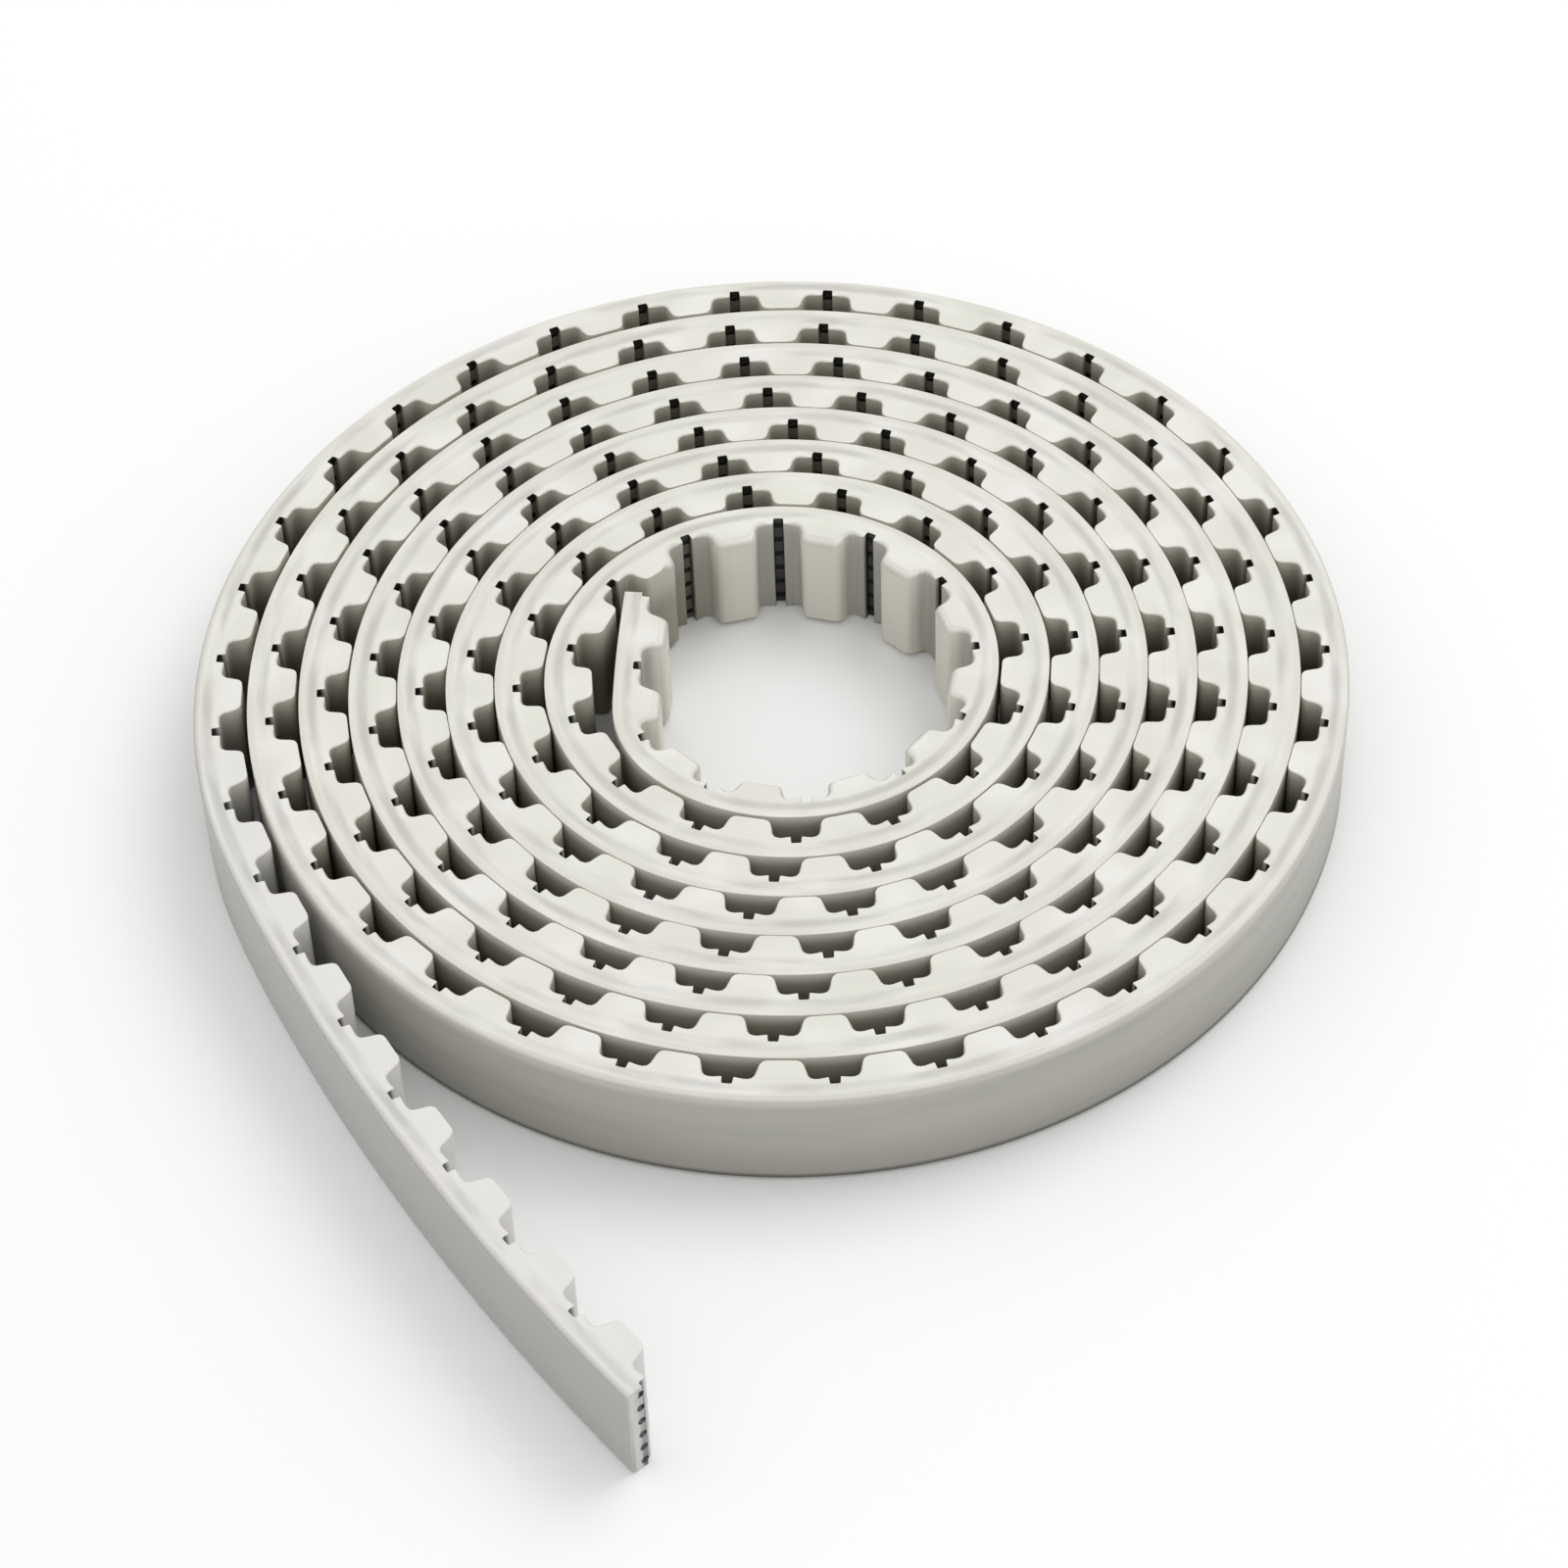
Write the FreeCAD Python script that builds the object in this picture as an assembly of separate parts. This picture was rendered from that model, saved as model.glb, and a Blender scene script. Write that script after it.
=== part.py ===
import FreeCAD, Part
import math
import os

# A coil of open-ended polyurethane timing belt, lying on its edge. The belt is one casting, a smooth
# back with trapezoidal teeth, around six steel tension cords. It is wound flat with the teeth inwards,
# and its free tail runs off the coil. Lengths are in millimetres, angles in degrees.
# Frame: Z is up, the belt lies on Z = 0, and the coil's middle is on the Z axis.

# Belt section, measured from the cord line: the land is on the tooth side, the back on the other
pitch = 10.0
belt_width = 12.0
tooth_height = 2.1
tooth_root_width = 5.3
flank_angle = 20.0
land_cover = 1.1
back_cover = 1.5

# The mould's noses hold the cords while the belt is cast, and leave a notch across each land
notch_width = 1.1
cord_showing = 0.1

# Tension cords: a core strand with six strands around it, so a six-sided section
cord_count = 6
cord_diameter = 0.9
cord_spacing = 2.0

# Coil: teeth and notches are counted from the inner end, which is cut through notch 0. The end stays nearly
# straight, and the notch after it bends by as much more as keeps it clear of the wrap around it
tooth_count = 195
inner_end_radius = 17.89
inner_end_bearing = 142.42
inner_end_heading = -96.76
inner_end_bends = (0.05, 0.1)
inner_end_clearance = 0.2
innermost_cord_radius = 16.475
wrap_gap = 0.04
wrap_slack = 0.0328
tightest_turn = 3.64

# Free tail: it leaves the coil after a notch and flexes at each later one, where the belt is thinnest
last_coiled_notch = 187
leaving_bend = 4.5
tail_bend = 2.2
smallest_back_idler = 60.0
flex_slit = 0.2

belt_thickness = tooth_height + land_cover + back_cover
tooth_tip = land_cover + tooth_height
flank_slope = math.tan(math.radians(flank_angle))
tooth_tip_width = tooth_root_width - 2 * tooth_height * flank_slope
notch_floor = cord_diameter / 2 - cord_showing
first_flexing_notch = last_coiled_notch + 1


class Place:
    """A point on the cord line with the belt's heading there."""

    def __init__(self, x, y, heading):
        self.x = x
        self.y = y
        self.heading = heading

    def at(self, along, inward, z=0.0):
        """The point so far along the belt and so far towards the teeth."""
        c = math.cos(self.heading)
        s = math.sin(self.heading)
        return FreeCAD.Vector(self.x + along * c - inward * s, self.y + along * s + inward * c, z)

    def advanced(self, length, radius):
        """The place further on along an arc that bends towards the teeth."""
        turn = length / radius
        end = Place(self.x, self.y, self.heading + turn / 2).at(2 * radius * math.sin(turn / 2), 0)
        return Place(end.x, end.y, self.heading + turn)


def coiled_radius(turns):
    """Radius of the cord line after so many turns. The wraps lie tightest at one turn of them."""
    loosening = (turns - tightest_turn) ** 3 + tightest_turn**3
    return innermost_cord_radius + (belt_thickness + wrap_gap) * turns + wrap_slack * loosening / 3


def bend_radius(n, turned, first_bends):
    """Radius to which the pitch around a notch is bent, after the coil has turned by so much."""
    coiled = coiled_radius(turned / (2 * math.pi))
    if n < len(first_bends):
        return coiled / first_bends[n]
    if n < first_flexing_notch:
        return coiled
    if n == first_flexing_notch:
        return pitch / math.radians(leaving_bend)
    return pitch / math.radians(tail_bend)


def walk_belt(first_bends):
    """Places of all notches and of all teeth, and the radius to which the pitch around each notch is bent.
    The bends of the first notches are given as shares of the coil's own."""
    bearing = math.radians(inner_end_bearing)
    x = inner_end_radius * math.cos(bearing)
    y = inner_end_radius * math.sin(bearing)
    place = Place(x, y, math.radians(inner_end_heading))
    notches, teeth, radii = [], [], []
    turned = 0.0
    for n in range(tooth_count + 1):
        radius = bend_radius(n, turned, first_bends)
        if n > 0:
            teeth.append(place)
            place = place.advanced(pitch / 2, radius)
        notches.append(place)
        radii.append(radius)
        place = place.advanced(pitch / 2, radius)
        turned += pitch / coiled_radius(turned / (2 * math.pi))
    return notches, teeth, radii


def inner_end_room(teeth):
    """How far the cut and the back of the inner end stay from the teeth of the wrap around it."""
    around = []
    for place in teeth[4 : 6 + math.ceil(2 * math.pi * coiled_radius(1) / pitch)]:
        around.append(place.at(-tooth_root_width / 2, land_cover))
        around.append(place.at(-tooth_tip_width / 2, tooth_tip))
        around.append(place.at(tooth_tip_width / 2, tooth_tip))
        around.append(place.at(tooth_root_width / 2, land_cover))
    end = [teeth[0].at(-pitch / 2, land_cover), teeth[0].at(-pitch / 2, -back_cover)]
    end += [place.at(0, -back_cover) for place in teeth[:4]]
    return Part.makePolygon(end).distToShape(Part.makePolygon(around))[0]


notches, teeth, radii = walk_belt(inner_end_bends)
entry_bend = 1.0
while inner_end_room(teeth) < inner_end_clearance:
    entry_bend += 0.05
    notches, teeth, radii = walk_belt(inner_end_bends + (entry_bend,))
back_bend_limit = math.degrees(pitch / (smallest_back_idler / 2 + back_cover)) + tail_bend
coil_bend_limit = math.degrees(pitch / radii[last_coiled_notch]) - tail_bend


def line(a, b):
    return Part.LineSegment(a, b).toShape()


def bend(n, a, b):
    """The arc from a to b about the middle to which the pitch around a notch is bent."""
    centre = notches[n].at(0, radii[n])
    middle = (a - centre) + (b - centre)
    middle.normalize()
    return Part.Arc(a, centre + middle * (a - centre).Length, b).toShape()


def beside_notch(n, along, cover):
    """The point beside a notch on the arc that lies so far on the tooth side of the cord line."""
    return notches[n].at(along, radii[n] - math.sqrt((radii[n] - cover) ** 2 - along**2))


def flank_foot(n, side):
    """Where a flank of tooth n meets the land, which is an arc about (0, radius) as seen from the tooth."""
    radius = radii[n] if side < 0 else radii[n + 1]
    half_width = tooth_tip_width / 2 + tooth_tip * flank_slope
    square = 1 + flank_slope**2
    middle = half_width * flank_slope + radius
    rest = half_width**2 + radius**2 - (radius - land_cover) ** 2
    inward = (middle - math.sqrt(middle**2 - square * rest)) / square
    return teeth[n].at(side * (half_width - flank_slope * inward), inward)


def tooth_edges(n):
    """Tooth n with half a land on each side, from notch n to the next."""
    corners = [
        flank_foot(n, -1),
        teeth[n].at(-tooth_tip_width / 2, tooth_tip),
        teeth[n].at(tooth_tip_width / 2, tooth_tip),
        flank_foot(n, 1),
    ]
    edges = [line(a, b) for a, b in zip(corners, corners[1:])]
    edges.append(bend(n, beside_notch(n, notch_width / 2, land_cover), corners[0]))
    edges.append(bend(n + 1, corners[-1], beside_notch(n + 1, -notch_width / 2, land_cover)))
    return edges


def notch_edges(n):
    corners = [
        beside_notch(n, -notch_width / 2, land_cover),
        notches[n].at(-notch_width / 2, notch_floor),
        notches[n].at(notch_width / 2, notch_floor),
        beside_notch(n, notch_width / 2, land_cover),
    ]
    return [line(a, b) for a, b in zip(corners, corners[1:])]


def cut_edges(n, side, cut):
    """One wall of a notch and the cut through it, whose corners run from the notch's floor to the back."""
    wall = side * notch_width / 2
    corners = [beside_notch(n, wall, land_cover), notches[n].at(wall, notch_floor)]
    corners += [notches[n].at(side * along, inward) for along, inward in cut[:-1]]
    corners.append(beside_notch(n, side * cut[-1][0], cut[-1][1]))
    return [line(a, b) for a, b in zip(corners, corners[1:])]


def belt_stretch(first, last, first_cut, last_cut):
    """The casting between two notches: its outline, raised by the belt's width."""
    edges = cut_edges(first, 1, first_cut) + cut_edges(last, -1, last_cut)
    for n in range(first, last):
        edges += tooth_edges(n)
    for n in range(first + 1, last):
        edges += notch_edges(n)
    back = [beside_notch(first, first_cut[-1][0], -back_cover)]
    back += [teeth[n].at(0, -back_cover) for n in range(first, last)]
    back.append(beside_notch(last, -last_cut[-1][0], -back_cover))
    for n in range(first, last + 1):
        edges.append(bend(n, back[n - first], back[n - first + 1]))
    outline = Part.Wire(Part.__sortEdges__(edges))
    return Part.Face(outline).extrude(FreeCAD.Vector(0, 0, belt_width))


def cord_sections(points):
    """The cord's six corners at each point of its line, mitred where the line bends."""
    up = FreeCAD.Vector(0, 0, 1)
    runs = [(b - a).normalize() for a, b in zip(points, points[1:])]
    sections = []
    for point, before, after in zip(points, runs[:1] + runs, runs + runs[-1:]):
        across = up.cross(before + after) / (1 + before.dot(after))
        corners = []
        for k in range(6):
            angle = math.radians(60 * k)
            corners.append(point + (across * math.cos(angle) + up * math.sin(angle)) * (cord_diameter / 2))
        sections.append(corners)
    return sections


def flat_face(corners):
    return Part.Face(Part.makePolygon(corners + corners[:1]))


def cord_stretch(first, last, first_gap, last_gap, z):
    """A cord between two notches, ending so far short of each. It bends at the notches only."""
    places = [notches[first].advanced(first_gap, radii[first])]
    places += notches[first + 1 : last]
    places.append(notches[last].advanced(-last_gap, radii[last]))
    sections = cord_sections([place.at(0, 0, z) for place in places])
    faces = [flat_face(sections[0]), flat_face(sections[-1])]
    for a, b in zip(sections, sections[1:]):
        for k in range(6):
            faces.append(flat_face([a[k - 1], a[k], b[k], b[k - 1]]))
    return Part.Solid(Part.Shell(faces))


# The belt's ends are cut square. Where the tail flexes, the parting opens to both sides of the cord
# line, so that it can bend by its limits either way, and the cords stop clear of it.
square_cut = [(0.0, notch_floor), (0.0, -back_cover)]
inner_opening = math.tan(math.radians(coil_bend_limit / 2))
outer_opening = math.tan(math.radians(back_bend_limit / 2))
flexing_cut = [
    (flex_slit / 2 + notch_floor * inner_opening, notch_floor),
    (flex_slit / 2, 0.0),
    (flex_slit / 2 + back_cover * outer_opening, -back_cover),
]
flexing_gap = flex_slit / 2 + cord_diameter / 2 * outer_opening
cord_levels = [belt_width / 2 + (i - (cord_count - 1) / 2) * cord_spacing for i in range(cord_count)]

os.makedirs("parts", exist_ok=True)

coil = belt_stretch(0, first_flexing_notch, square_cut, flexing_cut)
coil.exportStep("parts/belt_coil.step")

for i, z in enumerate(cord_levels):
    cord = cord_stretch(0, first_flexing_notch, 0.0, flexing_gap, z)
    cord.exportStep(f"parts/tension_cord_{i + 1}.step")

for n in range(first_flexing_notch, tooth_count):
    number = n - last_coiled_notch
    outermost = n == tooth_count - 1
    end_cut = square_cut if outermost else flexing_cut
    end_gap = 0.0 if outermost else flexing_gap
    tooth = belt_stretch(n, n + 1, flexing_cut, end_cut)
    tooth.exportStep(f"parts/tail_tooth_{number}.step")
    cords = [cord_stretch(n, n + 1, flexing_gap, end_gap, z) for z in cord_levels]
    Part.makeCompound(cords).exportStep(f"parts/tail_cords_{number}.step")
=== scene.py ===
import bpy
import math
import numpy as np
from mathutils import Matrix


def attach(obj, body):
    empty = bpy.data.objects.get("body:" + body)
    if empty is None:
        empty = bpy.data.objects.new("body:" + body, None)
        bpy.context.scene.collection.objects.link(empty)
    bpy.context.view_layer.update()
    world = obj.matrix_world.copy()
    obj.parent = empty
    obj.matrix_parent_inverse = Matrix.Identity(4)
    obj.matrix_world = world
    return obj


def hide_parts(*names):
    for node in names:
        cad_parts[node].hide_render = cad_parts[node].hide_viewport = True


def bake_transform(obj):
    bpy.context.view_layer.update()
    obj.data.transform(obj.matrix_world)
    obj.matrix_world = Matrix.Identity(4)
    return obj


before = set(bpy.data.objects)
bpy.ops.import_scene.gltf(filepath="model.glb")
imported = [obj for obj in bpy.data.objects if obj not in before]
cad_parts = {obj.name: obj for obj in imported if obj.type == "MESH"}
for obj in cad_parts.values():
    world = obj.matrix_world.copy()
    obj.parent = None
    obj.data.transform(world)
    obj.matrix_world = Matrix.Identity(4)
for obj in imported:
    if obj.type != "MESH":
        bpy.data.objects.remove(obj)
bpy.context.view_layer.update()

# Belt casting, the coiled length
# One piece of ivory polyurethane, cast around its cords in a toothed mould, with a smooth back, a tooth
# on every pitch and a notch across every land. It is slit to its width and wound flat, teeth inwards.
# Lengths of the belt are in millimetres, measured along the cord line and from it towards the teeth.
mm = 0.001
pitch = 10.0
belt_width = 12.0
tooth_height = 2.1
tooth_root_width = 5.3
flank_angle = math.radians(20.0)
tip_radius = 0.85
root_radius = 0.6
land_cover = 1.1
back_cover = 1.5
tooth_tip = land_cover + tooth_height
flank_slope = math.tan(flank_angle)
flank_reach = tooth_root_width / 2 + land_cover * flank_slope

# Notch: half its width at mouth and bottom, its floor, its rounded corners, and two steps along the land
notch_mouth = 0.54
notch_bottom = 0.48
notch_floor = 0.3
floor_corner = np.array([0.11, 0.03, 0.0])
mouth_corner = np.array([0.13, 0.03, 0.0])
land_steps = np.array([0.5, 0.9])

# Spiral of the coil, counted in teeth from the inner end, and the tail's bends
tooth_count = 195
inner_end_radius = 17.89
inner_end_bearing = math.radians(142.42)
inner_end_heading = math.radians(-96.76)
inner_end_bends = (0.05, 0.1, 1.45)
innermost_cord_radius = 16.475
wrap_pitch = 4.74
wrap_slack = 0.0328
tightest_turn = 3.64
last_coiled_notch = 187
leaving_bend = math.radians(4.5)
tail_bend = math.radians(2.2)
tail_start = last_coiled_notch * pitch

# Along the belt: the teeth are free up to the end of the first wrap, the back from the outer wrap on
free_length = 115.0
outer_wrap = 1525.0

# Shares of the gap between the wraps that bulging backs fill: the mean, its change to one side, the most
mean_bulge = 0.45
leaning_bulge = 0.5
largest_bulge = 0.9

# Widths of the rounded rims, the lengths over which they change, and how far they stay off the cord line
back_rim = 0.07
outer_rim = 0.5
face_rim = 0.22
tip_rim = 0.03
tip_rim_reach = 1.2
notch_rim = 0.04
notch_rim_reach = 0.9
free_land_rim = 0.4
free_tip_rim = 0.75
rim_off_cords = 0.1


def bend_radii():
    """Radius of the cord line around each notch, and the turns up to it: a spiral whose wraps loosen with the
    square of the turns from its tightest one, straighter at the inner end and along the tail."""
    radii, turns_before = [], []
    turned = 0.0
    for n in range(tooth_count + 1):
        turns = turned / (2 * math.pi)
        loosening = (turns - tightest_turn) ** 3 + tightest_turn**3
        coiled = innermost_cord_radius + wrap_pitch * turns + wrap_slack * loosening / 3
        turned += pitch / coiled
        turns_before.append(turns)
        if n < len(inner_end_bends):
            radii.append(coiled / inner_end_bends[n])
        elif n <= last_coiled_notch:
            radii.append(coiled)
        else:
            radii.append(pitch / (leaving_bend if n == last_coiled_notch + 1 else tail_bend))
    return np.array(radii), np.array(turns_before)


def stations(radii):
    """x, y and heading where each half pitch begins, notches and teeth in turn: half pitches are arcs, and
    each place is the sum of the chords before it."""
    radius = np.repeat(radii, 2)[1:-1]
    turn = pitch / 2 / radius
    heading = inner_end_heading + np.concatenate([[0], np.cumsum(turn)])
    way = heading[:-1] + turn / 2
    chord = 2 * radius * np.sin(turn / 2)
    steps = chord[:, None] * np.stack([np.cos(way), np.sin(way)], axis=-1)
    start = inner_end_radius * np.array([math.cos(inner_end_bearing), math.sin(inner_end_bearing)])
    points = start + np.concatenate([np.zeros((1, 2)), np.cumsum(steps, axis=0)])
    return np.column_stack([points, heading])


def beside(place, along, inward):
    """Points so far along a place's heading and so far to its left."""
    x, y, heading = np.moveaxis(place, -1, 0)
    c, s = np.cos(heading), np.sin(heading)
    return np.stack([x + along * c - inward * s, y + along * s + inward * c], axis=-1)


def along_arc(place, radius, along, inward):
    """Points so far along an arc that bends to the left, and so far inside it."""
    turn = along / radius
    x, y, heading = np.moveaxis(place, -1, 0)
    way = heading + turn / 2
    chord = 2 * radius * np.sin(turn / 2)
    moved = np.stack([x + chord * np.cos(way), y + chord * np.sin(way), heading + turn], axis=-1)
    return beside(moved, 0.0, inward)


def half_pitch():
    """Outline from the middle of each notch to the middle of the tooth beside it: the notch and the land in
    belt coordinates, then two fillets, with the flank between them, and the tip in the tooth's own frame.
    A fillet's points are its centre plus its radius times the direction, turned in equal steps."""
    floor_along = notch_bottom - np.array([notch_bottom, *floor_corner])
    floor_inward = notch_floor + np.array([0.0, *floor_corner[::-1]])
    mouth_along = notch_mouth + np.array([*mouth_corner[::-1], *land_steps])
    mouth_inward = land_cover - np.array([*mouth_corner, *np.zeros_like(land_steps)])
    notch_along = np.concatenate([floor_along, mouth_along])
    notch_inward = np.concatenate([floor_inward, mouth_inward])

    root_steps = 3
    reach = radii - land_cover - root_radius
    off = flank_reach + root_radius / math.cos(flank_angle)
    middle = off * flank_slope + radii
    square = 1 + flank_slope**2
    root_inward = (middle - np.sqrt(middle**2 - square * (off**2 + radii**2 - reach**2))) / square
    root_off = off - flank_slope * root_inward
    land_way = np.arctan2(root_inward - radii, root_off)[:, None]
    way = land_way + np.linspace(0, 1, root_steps) * (flank_angle - math.pi - land_way)
    root_middle = np.stack([root_off, root_inward], axis=-1)[:, None]
    root = root_middle + root_radius * np.stack([np.cos(way), np.sin(way)], axis=-1)

    tip_steps = 4
    tip_inward = tooth_tip - tip_radius
    tip_off = flank_reach - tip_inward * flank_slope - tip_radius / math.cos(flank_angle)
    way = np.linspace(flank_angle, math.pi / 2, tip_steps)
    tip = np.array([tip_off, tip_inward]) + tip_radius * np.stack([np.cos(way), np.sin(way)], axis=-1)
    tip = np.vstack([tip, [[0.0, tooth_tip]]])
    tooth = np.concatenate([root, np.broadcast_to(tip, (len(radii), *tip.shape))], axis=1)
    return notch_along, notch_inward, tooth


radii, turns_before = bend_radii()
places = stations(radii)
notch_places = places[0::2]
tooth_places = places[1::2]


def back_swelling():
    """How far the back bulges towards the wrap around it, at each notch: a share of the gap between the
    wraps, which grows outwards with the square of the turns. The coil leans to one side, and the share grows
    towards it with the cosine of the bearing."""
    loose = np.maximum(turns_before - tightest_turn, 0.0)
    gap = wrap_pitch - tooth_tip - back_cover + wrap_slack * (loose**2 + loose + 1 / 3)
    x, y = notch_places[:, 0], notch_places[:, 1]
    share = np.clip(mean_bulge + leaning_bulge * x / np.hypot(x, y), 0.0, largest_bulge)
    covered = (loose > 0) & (np.arange(tooth_count + 1) * pitch < outer_wrap)
    return np.where(covered, gap * share, 0.0)


def belt_columns():
    """All columns of the belt from the inner end to the outer: on the tooth side, on the cord line and on the
    back, with the distance along the belt, the tooth side's distance from the cord line, and the distance
    along the belt from the nearest notch. Also the number of columns in half a pitch."""
    notch_along, notch_inward, tooth = half_pitch()
    numbers = np.arange(tooth_count + 1)
    notch_swelling = back_swelling()
    notch_place = notch_places[:, None]
    radius = radii[:, None]
    every_notch = np.ones_like(radius)
    off = np.concatenate([every_notch * notch_along, pitch / 2 - tooth[..., 0]], axis=1)
    deep = np.concatenate([every_notch * notch_inward, tooth[..., 1]], axis=1)
    face, cord, back, along, inward, offset = [], [], [], [], [], []
    for side in (-1, 1):
        beside_tooth = np.clip(numbers - (side < 0), 0, tooth_count - 1)
        near = along_arc(notch_place, radius, side * notch_along, notch_inward)
        far = beside(tooth_places[beside_tooth][:, None], -side * tooth[..., 0], tooth[..., 1])
        length = numbers[:, None] * pitch + side * off
        swelling = np.interp(length, numbers * pitch, notch_swelling)
        face.append(np.concatenate([near, far], axis=1))
        cord.append(along_arc(notch_place, radius, side * off, 0.0))
        back.append(along_arc(notch_place, radius, side * off, -back_cover - swelling))
        along.append(length)
        inward.append(deep)
        offset.append(side * off)

    def joined(halves):
        """Tooth to notch to tooth for each notch, then one after another, from notch 0 to the last."""
        left, right = halves
        whole = np.concatenate([left[:, ::-1], right[:, 1:]], axis=1)[:, 1:]
        steps = left.shape[1] - 1
        return whole.reshape(-1, *whole.shape[2:])[steps - 1 : -steps]

    lines = [joined(halves) for halves in (face, cord, back, along, inward, offset)]
    return lines, off.shape[1] - 1


(face_line, cord_line, back_line, along_belt, face_inward, from_notch), half_steps = belt_columns()


def turned_left(vectors):
    left = np.stack([-vectors[:, 1], vectors[:, 0]], axis=-1)
    return left / np.linalg.norm(left, axis=1, keepdims=True)


face_normal = turned_left(np.gradient(face_line, axis=0))
back_normal = -turned_left(np.gradient(back_line, axis=0))

# Rims of each column: narrow at the tips, except on the free teeth, and narrow beside the notches
rounding = np.interp(face_inward, [tooth_tip - tip_rim_reach, tooth_tip], [face_rim, tip_rim])
free_rounding = np.interp(face_inward, [land_cover, tooth_tip], [free_land_rim, free_tip_rim])
rounding = np.where(along_belt < free_length, free_rounding, rounding)
past_notch = np.interp(abs(from_notch), [notch_mouth, notch_mouth + notch_rim_reach], [0, 1])
rounding = notch_rim + past_notch * (rounding - notch_rim)
back_rounding = np.interp(along_belt, [outer_wrap, outer_wrap + pitch], [back_rim, outer_rim])

# Columns whose tooth side or back is hemmed in by the next wrap
hemmed_length = [free_length - pitch, free_length, tail_start, tail_start + pitch]
hemmed_face = np.interp(along_belt, hemmed_length, [0, 1, 1, 0])
hemmed_back = np.interp(along_belt, [outer_wrap, outer_wrap + pitch], [1, 0])


def mesh_object(name, vertices, faces, loop_normals, attributes):
    """A piece from its points in millimetres, with its own normals, and for each attribute one number per
    point."""
    mesh = bpy.data.meshes.new(name)
    mesh.from_pydata((vertices * mm).tolist(), [], faces)
    mesh.polygons.foreach_set("use_smooth", np.ones(len(faces), bool))
    mesh.normals_split_custom_set(loop_normals.tolist())
    for label, values in attributes.items():
        mesh.attributes.new(label, "FLOAT", "POINT").data.foreach_set("value", values.astype(np.float32))
    piece = bpy.data.objects.new(name, mesh)
    bpy.context.scene.collection.objects.link(piece)
    return piece


def tube_faces(rows, columns):
    """Quads of a closed ring of rows carried along the columns, then the two ends, all facing outwards where
    the rows run from the back over the top to the tooth side."""
    r, c = np.meshgrid(np.arange(rows), np.arange(columns - 1), indexing="ij")
    here = r * columns + c
    below = (r + 1) % rows * columns + c
    quads = np.stack([here, here + 1, below + 1, below], axis=-1)
    start = np.arange(rows) * columns
    end = start[::-1] + columns - 1
    return quads.reshape(-1, 4), start, end


def belt_piece(name, first, last):
    """The casting between two columns. Its section has ten rows: back rim, cord line and tooth rim on the
    upper edge, the tooth side, the same on the lower edge, and the back. The narrow strip at each rim turns
    the normal from the edge to the side, so it looks rounded."""
    part = slice(first, last + 1)
    face, cord, back = face_line[part], cord_line[part], back_line[part]
    columns = last + 1 - first
    soft = rounding[part]
    back_soft = back_rounding[part]
    deep = face_inward[part]
    inside = np.minimum(soft, deep - rim_off_cords)
    face_inset = face - inside[:, None] * face_normal[part]
    back_inset = back - back_soft[:, None] * back_normal[part]
    outline = [back_inset, cord, face_inset, face, face, face_inset, cord, back_inset, back, back]
    low = np.zeros(columns)
    top = low + belt_width
    levels = [top, top, top, top - soft, low + soft, low, low, low, low + back_soft, top - back_soft]
    vertices = np.stack([np.column_stack([xy, z]) for xy, z in zip(outline, levels)])

    up = np.broadcast_to([0.0, 0.0, 1.0], (columns, 3))
    tooth_side = np.column_stack([face_normal[part], low])
    back_side = np.column_stack([back_normal[part], low])
    normals = np.stack([up, up, up, tooth_side, tooth_side, -up, -up, -up, back_side, back_side])

    quads, start, end = tube_faces(len(outline), columns)
    ways = back_normal[[first, last]] @ np.array([[0.0, -1.0], [1.0, 0.0]])
    ends = [np.tile([*way, 0.0], (len(outline), 1)) * sign for way, sign in zip(ways, (1, -1))]
    loop_normals = np.concatenate([normals.reshape(-1, 3)[quads.ravel()], *ends])
    faces = quads.tolist() + [start.tolist(), end.tolist()]

    back_deep = low - back_cover
    inset_deep = back_deep + back_soft
    depth = [inset_deep, low, deep, deep, deep, deep, low, inset_deep, back_deep, back_deep]
    between = [hemmed_back[part], low, hemmed_face[part], hemmed_face[part]]
    cut = [1, 1, 1, 0, 0, 1, 1, 1, 0, 0]
    attributes = {
        "along": np.tile(along_belt[part], len(outline)),
        "inward": np.concatenate(depth),
        "from_notch": np.tile(from_notch[part], len(outline)),
        "cut_edge": np.repeat(np.array(cut, float), columns),
        "hemmed": np.concatenate(between + between[::-1] + between[:1] * 2),
    }
    return mesh_object(name, vertices.reshape(-1, 3), faces, loop_normals, attributes)


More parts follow.
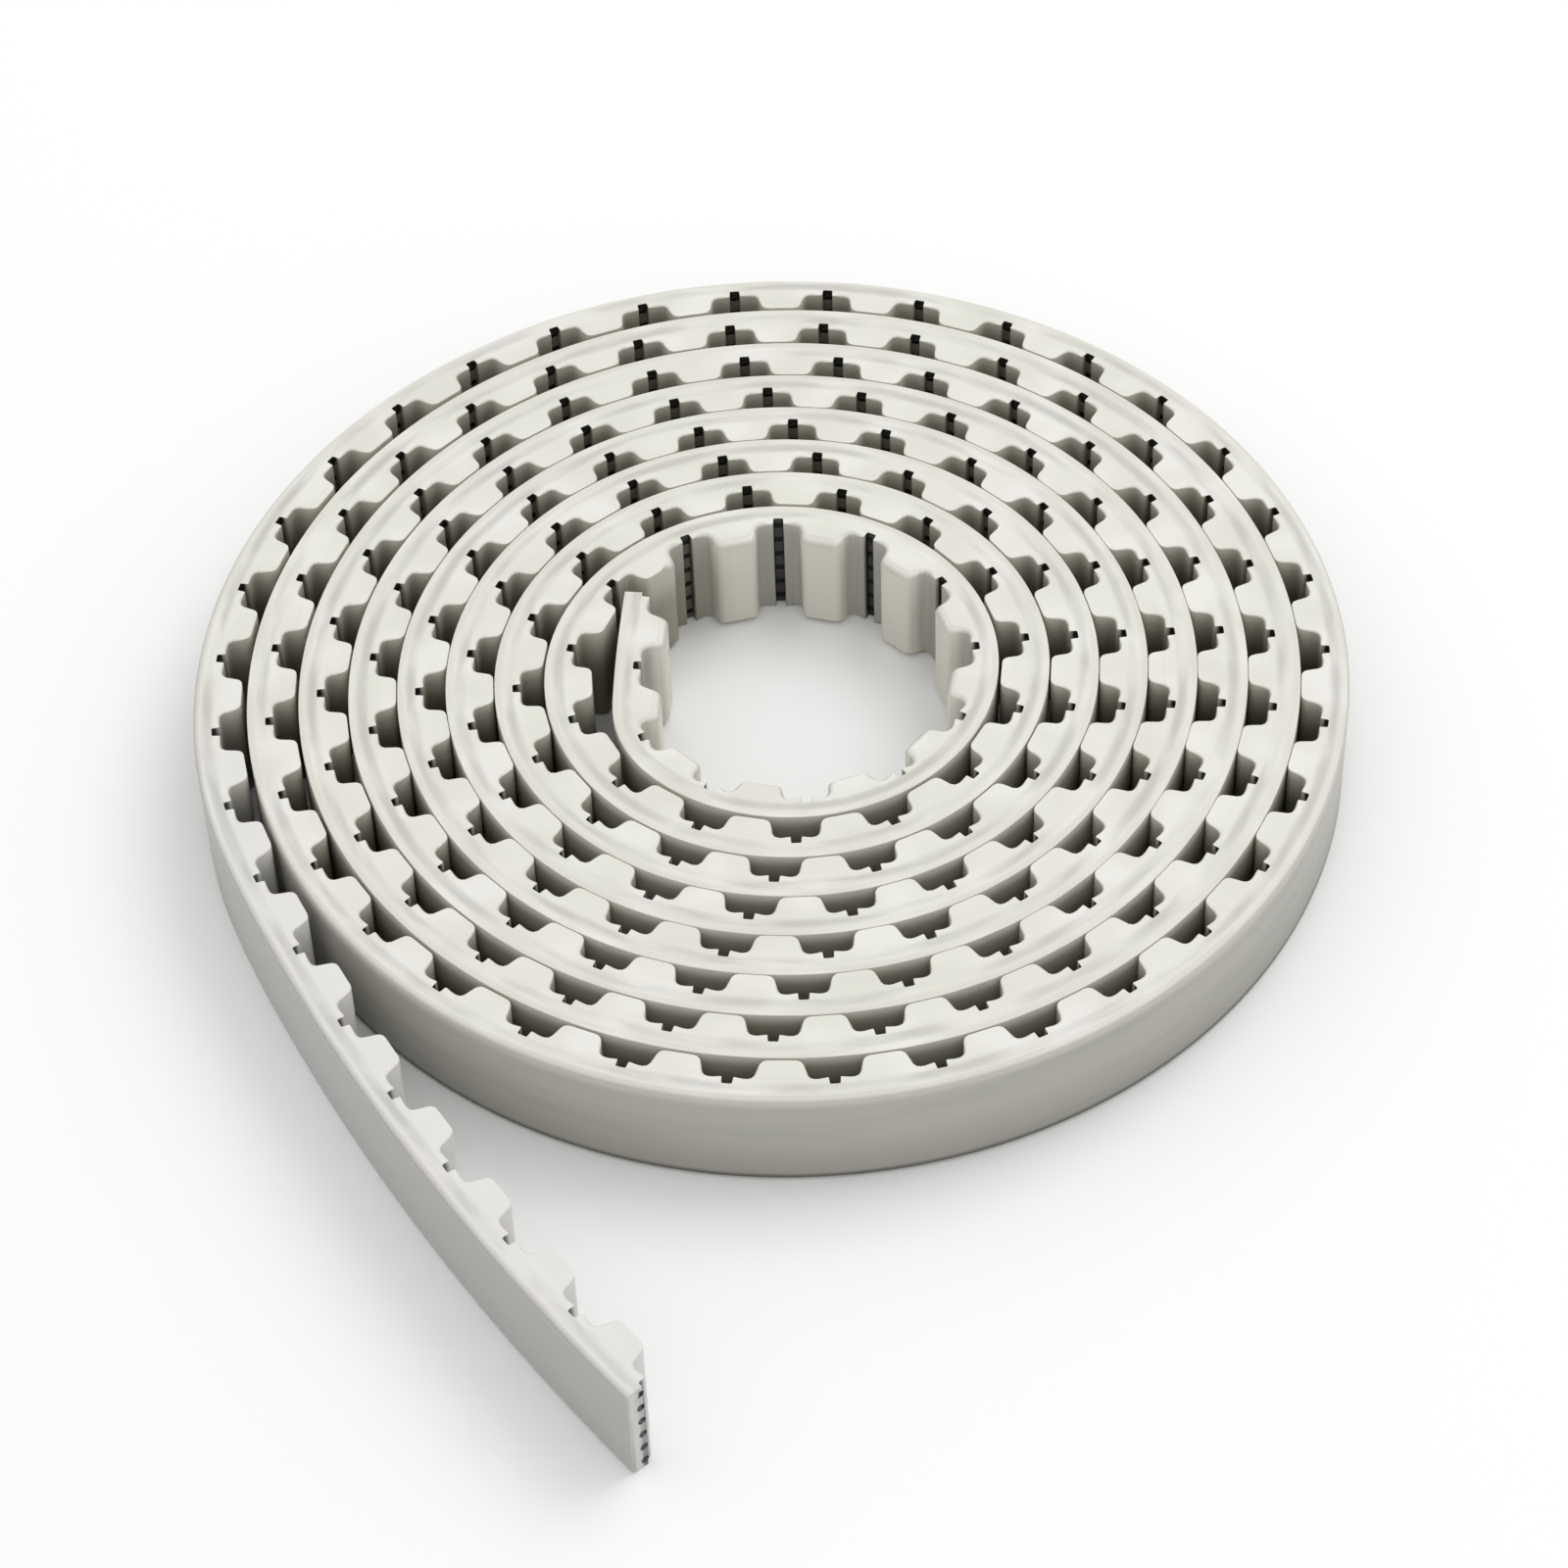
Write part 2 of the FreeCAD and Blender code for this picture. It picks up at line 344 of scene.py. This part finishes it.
class Shade:
    """A socket in a material's tree of nodes, so that shader maths is written as formulas."""

    def __init__(self, tree, socket=None):
        self.tree = tree
        self.socket = socket

    def node(self, kind, settings=None, inputs=None, output=0):
        made = self.tree.nodes.new(kind)
        for name, value in (settings or {}).items():
            setattr(made, name, value)
        for name, value in (inputs or {}).items():
            if isinstance(value, Shade):
                self.tree.links.new(value.socket, made.inputs[name])
            else:
                made.inputs[name].default_value = value
        return Shade(self.tree, made.outputs[output])

    def maths(self, operation, a, b=0.0):
        return self.node("ShaderNodeMath", {"operation": operation}, {0: a, 1: b})

    def __add__(self, other):
        return self.maths("ADD", self, other)

    __radd__ = __add__

    def __sub__(self, other):
        return self.maths("SUBTRACT", self, other)

    def __rsub__(self, other):
        return self.maths("SUBTRACT", other, self)

    def __mul__(self, other):
        return self.maths("MULTIPLY", self, other)

    __rmul__ = __mul__

    def __abs__(self):
        return self.maths("ABSOLUTE", self)

    def ramp(self, low, high):
        """0 below low, 1 above high, smooth between; it falls instead where low is above high."""
        return self.node("ShaderNodeMapRange", {"interpolation_type": "SMOOTHSTEP"},
                         {"Value": self, "From Min": low, "From Max": high})

    def between(self, a, b):
        """The colour so far from a to b."""
        return self.node("ShaderNodeMix", {"data_type": "RGBA"}, {0: self, 6: a, 7: b}, 2)

    def tinted(self, *layers):
        """This colour under layers of others, each given as where it lies, how strongly, and its colour."""
        colour = self
        for where, strength, tint in layers:
            colour = (where * strength).between(colour, tint)
        return colour

    def attribute(self, name):
        return self.node("ShaderNodeAttribute", {"attribute_name": name}, output="Fac")

    def noise(self, vector, scale, detail=2.0):
        return self.node("ShaderNodeTexNoise", None, {"Vector": vector, "Scale": scale, "Detail": detail})

    def vector(self, x, y, z):
        return self.node("ShaderNodeCombineXYZ", None, {0: x, 1: y, 2: z})


def new_finish(name, roughness=0.5, metallic=0.0):
    """A material, its shader and a start for its formulas."""
    finish = bpy.data.materials.new(name)
    finish.use_nodes = True
    shader = finish.node_tree.nodes["Principled BSDF"]
    shader.inputs["Roughness"].default_value = roughness
    shader.inputs["Metallic"].default_value = metallic
    return finish, shader, Shade(finish.node_tree)


def feed(shader, **inputs):
    for name, value in inputs.items():
        value.tree.links.new(value.socket, shader.inputs[name.replace("_", " ")])


def cast_polyurethane():
    """Ivory polyurethane. The slit edge is clouded and mottled, with a broken band over the outer cord, dull
    patches along the back and fine marks of the knife. The teeth are ivory, and the lands and the back
    greyer, partly where the cords lie close under them and partly as painted shade in the gaps and on the
    back wall. Between the wraps they turn olive, painted shade that is darker with depth. The back has faint
    smears and a painted contact shadow as a dark line at its foot, and every face has a painted highlight
    near the top, strongest along the back's upper rim. The notches are painted dark as shade, with a painted
    shadow scalloped at each cord, and the tail is painted greyer than the coil as painted light."""
    finish, shader, start = new_finish("cast_polyurethane")
    warm = (0.775, 0.75, 0.69, 1.0)
    green = (0.76, 0.76, 0.68, 1.0)
    pale = (0.86, 0.85, 0.82, 1.0)
    dull = (0.69, 0.67, 0.6, 1.0)
    cord_shadow = (0.48, 0.465, 0.43, 1.0)
    thick = (0.83, 0.81, 0.725, 1.0)
    # Lands and back: greyer partly where the cords lie close under them, partly painted shade that darkens
    # the gaps between the teeth and the back wall
    land = (0.42, 0.413, 0.37, 1.0)
    back = (0.515, 0.503, 0.452, 1.0)
    # Olive tints: painted shade between the wraps, darker with depth
    olive = (0.34, 0.325, 0.235, 1.0)
    deep_olive_shade = (0.18, 0.17, 0.115, 1.0)
    smear = (0.44, 0.435, 0.40, 1.0)
    # Painted shade darkening the back towards the floor
    lower = (0.295, 0.285, 0.25, 1.0)
    # Painted contact shadow: a dark line along the back's foot
    foot_shadow_colour = (0.07, 0.067, 0.06, 1.0)
    # Notch colours: painted shade in the notches, near black at the top, greyer between the wraps and on the
    # tail
    notch_top_shadow = (0.012, 0.011, 0.009, 1.0)
    notch_shadow = (0.025, 0.024, 0.02, 1.0)
    hemmed_notch_shadow = (0.19, 0.18, 0.14, 1.0)
    # Tail tints: painted light, a greyer cast over the tail than over the coil
    tail_edge_light_tint = (0.77, 0.758, 0.745, 1.0)
    tail_back_light_tint = (0.5, 0.495, 0.485, 1.0)
    tail_notch_shadow = (0.2, 0.195, 0.19, 1.0)

    along = start.attribute("along")
    inward = start.attribute("inward")
    off_notch = start.attribute("from_notch")
    cut_edge = start.attribute("cut_edge")
    hemmed = start.attribute("hemmed")
    place = start.node("ShaderNodeTexCoord", output="Object")
    level = start.node("ShaderNodeSeparateXYZ", None, {0: place}, output="Z") * (1 / mm)
    clouds = start.noise(place, 70.0, 2.0)
    mottle = start.noise(place, 160.0, 1.0)
    grain = start.noise(place, 2600.0)
    patches = start.noise(start.vector(along * 0.11, inward * 0.5, level * 0.3), 1.0, 2.0)
    knife = start.noise(start.vector(along * 0.05, inward * 4.0, level * 4.0), 1.0, 3.0)
    smears = start.noise(start.vector(along * 0.045, inward * 0.4, level * 0.55), 1.0, 3.0)

    on_tail = along.ramp(tail_start - 30.0, tail_start + 20.0)
    over_cord = abs(inward + 0.15).ramp(0.9, 0.1) * patches.ramp(0.3, 0.7)
    along_back = inward.ramp(-0.6, -1.1) * patches.ramp(0.68, 0.4)
    edge_colour = clouds.ramp(0.35, 0.65).between(warm, green).tinted(
        (mottle.ramp(0.45, 0.7), 0.55, pale),
        (mottle.ramp(0.5, 0.3), 0.35, dull),
        # Painted light: the tail's slit edge greyer than the coil's
        (on_tail, 0.8, tail_edge_light_tint),
        (over_cord, 0.7, cord_shadow),
        (knife.ramp(0.5, 0.8), 0.12, cord_shadow),
        (along_back, 0.8, dull),
    )

    # Painted shade in the notches, with a painted shadow scalloped at each cord
    scallop = start.maths("COSINE", (level - 1.0) * math.pi) * 0.5 + 0.5
    in_notch = (off_notch + scallop * 0.18).ramp(-0.6, -0.52) * off_notch.ramp(0.56, 0.5)
    in_notch = in_notch * inward.ramp(-0.4, 0.0) * inward.ramp(0.95, 0.6)
    notch_shade = hemmed.between(notch_shadow, hemmed_notch_shadow).tinted(
        (level.ramp(10.9, 11.3), 1.0, notch_top_shadow),
        (on_tail, 0.7, tail_notch_shadow),
    )

    on_back = inward.ramp(-0.9, -1.1)
    # Painted shade: darker towards the depth of the gap between the wraps
    depth_shade_between = hemmed * level.ramp(10.5, 6.5)
    smeared = on_back * smears.ramp(0.42, 0.72)
    # Painted shade: the back darker towards the bottom
    shade_low_on_back = on_back * level.ramp(8.0, 0.0)
    # Painted highlight: every face paler near the top, most of all along the back's upper rim
    rim_highlight = level.ramp(10.2, 12.0)
    highlight_share = 0.2 + on_back * (0.75 - hemmed * 0.05)
    # Painted contact shadow at the back's foot, left off the tail
    foot = on_back * level.ramp(1.25, 0.6) * (1.0 - on_tail)
    # Tooth side greying towards the land: partly where the cords lie close, partly painted shade towards the
    # bottom of the gaps between the teeth
    tooth_colour = inward.ramp(1.1, 2.6).between(land, thick)
    face_colour = on_back.between(tooth_colour, back).tinted(
        # Painted shade between the wraps: olive, and darker deeper down
        (hemmed, 0.5, olive),
        (depth_shade_between, 0.6, deep_olive_shade),
        (smeared, 0.7, smear),
        (shade_low_on_back, 0.6, lower),
        # Painted highlight near the top of the faces, in the slit edge's warm colour
        (rim_highlight, highlight_share, warm),
        # Painted light: the tail's faces greyer than the coil's
        (on_tail, 0.8, on_back.between(tail_edge_light_tint, tail_back_light_tint)),
        (foot, 0.85, foot_shadow_colour),
        # Painted shade in the notches
        (in_notch, 1.0, notch_shade),
    )

    colour = cut_edge.between(face_colour, edge_colour)
    roughness = 0.34 + 0.18 * knife
    height = 0.7 * knife + 0.3 * grain
    bump = start.node("ShaderNodeBump", None, {"Strength": 0.2, "Distance": 0.00004, "Height": height})
    feed(shader, Base_Color=colour, Roughness=roughness, Normal=bump)
    return finish


polyurethane = cast_polyurethane()
coil = belt_piece("belt_casting", 0, (2 * last_coiled_notch + 1) * half_steps)
coil.data.materials.append(polyurethane)
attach(coil, "coil")
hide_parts("belt_coil")

# Tension cords, the coiled length
# Six cords of stranded steel wire lie side by side in the casting and carry the belt's pull. They show
# only where the mould's noses held them, across the bottom of each notch, and in the cut ends.
cord_count = 6
cord_diameter = 0.9
cord_spacing = 2.0
cord_lay = 6.0
cord_sides = 10
ring_stops = np.array([-0.7, -0.25, 0.25, 0.7, pitch / 2])
closest_rings = 0.05
cord_levels = belt_width / 2 + (np.arange(cord_count) - (cord_count - 1) / 2) * cord_spacing


def cord_piece(name, first, last, levels):
    """Tubes along the cord line from one notch or tooth to another, counted in half pitches: each ring is a
    circle across the line, and rings lie closer where a notch shows them."""
    begin = first * pitch / 2
    end = last * pitch / 2
    numbers = np.arange((first + 1) // 2, last // 2 + 1)
    stops = (numbers[:, None] * pitch + ring_stops).ravel()
    stops = stops[(stops > begin + closest_rings) & (stops < end - closest_rings)]
    stops = np.array([begin, *stops, end])
    number = np.clip(np.floor(stops / pitch + 0.5).astype(int), 0, tooth_count)
    place, radius = notch_places[number], radii[number]
    off = stops - number * pitch
    middle = along_arc(place, radius, off, 0.0)
    across = along_arc(place, radius, off, 1.0) - middle
    flat = np.zeros(len(stops))

    angle = np.linspace(np.pi, -np.pi, cord_sides, endpoint=False)
    ring = np.cos(angle)[:, None, None] * np.column_stack([across, flat])
    ring = ring + np.sin(angle)[:, None, None] * np.array([0.0, 0.0, 1.0])
    tube = np.column_stack([middle, flat]) + cord_diameter / 2 * ring
    vertices = np.concatenate([tube.reshape(-1, 3) + [0.0, 0.0, z] for z in levels])

    quads, start, end_ring = tube_faces(cord_sides, len(stops))
    heading = np.column_stack([across[:, 1], -across[:, 0], flat])
    ends = [np.tile(-heading[0], (cord_sides, 1)), np.tile(heading[-1], (cord_sides, 1))]
    faces, loop_normals = [], []
    for i in range(len(levels)):
        shift = i * cord_sides * len(stops)
        faces += (quads + shift).tolist() + [(start + shift).tolist(), (end_ring + shift).tolist()]
        loop_normals += [ring.reshape(-1, 3)[quads.ravel()], *ends]
    attributes = {
        "along": np.tile(stops, cord_sides * len(levels)),
        "around": np.tile(np.repeat(angle, len(stops)), len(levels)),
    }
    return mesh_object(name, vertices, faces, np.concatenate(loop_normals), attributes)


def stranded_steel():
    """Six dull strands laid around a core: a wave across the strands that turns once in each lay."""
    finish, shader, start = new_finish("stranded_steel", roughness=0.5, metallic=0.85)
    groove = (0.008, 0.008, 0.008, 1.0)
    wire = (0.02, 0.02, 0.019, 1.0)
    turn = start.attribute("along") * (2 * math.pi / cord_lay)
    strands = abs(start.maths("SINE", 3.0 * (start.attribute("around") + turn)))
    bump = start.node("ShaderNodeBump", None, {"Strength": 0.6, "Distance": 0.0001, "Height": strands})
    feed(shader, Base_Color=strands.ramp(0.1, 0.7).between(groove, wire), Normal=bump)
    return finish


steel = stranded_steel()
for i, z in enumerate(cord_levels):
    cord = cord_piece(f"steel_cord_{i + 1}", 0, 2 * last_coiled_notch + 1, [z])
    cord.data.materials.append(steel)
    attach(cord, "coil")
    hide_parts(f"tension_cord_{i + 1}")


def across_notch(piece):
    """Bakes a piece of the tail's placement into its points."""
    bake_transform(piece)


tail_count = tooth_count - last_coiled_notch - 1
for number in range(1, tail_count + 1):
    first = 2 * (last_coiled_notch + number) - 1
    stretch = belt_piece(f"tail_casting_{number}", first * half_steps, (first + 2) * half_steps)
    stretch.data.materials.append(polyurethane)
    across_notch(stretch)
    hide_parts(f"tail_tooth_{number}")
    cords = cord_piece(f"tail_cords_{number}_wire", first, first + 2, cord_levels)
    cords.data.materials.append(steel)
    across_notch(cords)
    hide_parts(f"tail_cords_{number}")

# Outer end of the tail
# The last half pitch, cut square through a notch, with the six cord ends in the cut.
last_half = 2 * tooth_count - 1
cut_end = belt_piece("tail_end", last_half * half_steps, (last_half + 1) * half_steps)
cut_end.data.materials.append(polyurethane)
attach(cut_end, f"tail_{tail_count}")
cord_ends = cord_piece("tail_cord_ends", last_half, last_half + 1, cord_levels)
cord_ends.data.materials.append(steel)
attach(cord_ends, f"tail_{tail_count}")

# Floor, light and camera
# A pale seamless floor under a broad soft lamp from above, seen from the photo's height. The floor throws
# less light back at the belt than its white would.
floor_half = 3.0
floor_bounce = (0.58, 0.58, 0.58, 1.0)
floor_white = (0.98, 0.98, 0.98, 1.0)
floor_mesh = bpy.data.meshes.new("floor")
corners = [(x * floor_half, y * floor_half, 0) for x, y in ((-1, -1), (1, -1), (1, 1), (-1, 1))]
floor_mesh.from_pydata(corners, [], [(0, 1, 2, 3)])
floor = bpy.data.objects.new("floor", floor_mesh)
bpy.context.scene.collection.objects.link(floor)
paper, paper_shader, paper_start = new_finish("pale_floor", roughness=0.9)
seen_by = [paper_start.node("ShaderNodeLightPath", output=f"Is {kind} Ray")
           for kind in ("Camera", "Glossy", "Transmission")]
in_view = (seen_by[0] + seen_by[1] + seen_by[2]).ramp(0.0, 1.0)
feed(paper_shader, Base_Color=in_view.between(floor_bounce, floor_white))
floor_mesh.materials.append(paper)


def soft_lamp(name, place, size, power):
    """A square lamp that faces the middle of the coil."""
    lamp = bpy.data.lights.new(name, "AREA")
    lamp.shape = "SQUARE"
    lamp.size = size
    lamp.energy = power
    holder = bpy.data.objects.new(name, lamp)
    bpy.context.scene.collection.objects.link(holder)
    away = np.array(place) / np.linalg.norm(place)
    side = np.cross([0.0, 1.0, 0.0], away)
    side /= np.linalg.norm(side)
    up = np.cross(away, side)
    turned = Matrix(np.column_stack([side, up, away]).tolist()).to_4x4()
    turned.translation = place
    holder.matrix_world = turned


soft_lamp("overhead_lamp", place=(0.45, 0.35, 0.85), size=0.6, power=2.5)
sky_white = (1.0, 1.0, 1.0, 1.0)
sky_strength = 0.85
world = bpy.data.worlds.new("studio")
world.use_nodes = True
sky = world.node_tree.nodes["Background"]
sky.inputs["Color"].default_value = sky_white
sky.inputs["Strength"].default_value = sky_strength
bpy.context.scene.world = world

camera_height = math.radians(48.155)
camera_roll = math.radians(-2.161)
camera_place = (-0.000480, -0.315351, 0.346811)
focal_length = 107.34
sensor_width = 36.0
ahead = np.array([0.0, math.cos(camera_height), -math.sin(camera_height)])
level_right = np.array([1.0, 0.0, 0.0])
level_up = np.cross(level_right, ahead)
right = math.cos(camera_roll) * level_right + math.sin(camera_roll) * level_up
upward = np.cross(right, ahead)
lens = bpy.data.cameras.new("camera")
lens.sensor_width = sensor_width
lens.lens = focal_length
camera = bpy.data.objects.new("camera", lens)
bpy.context.scene.collection.objects.link(camera)
aimed = Matrix(np.column_stack([right, upward, -ahead]).tolist()).to_4x4()
aimed.translation = camera_place
camera.matrix_world = aimed
bpy.context.scene.camera = camera
bpy.context.scene.view_settings.view_transform = "Standard"
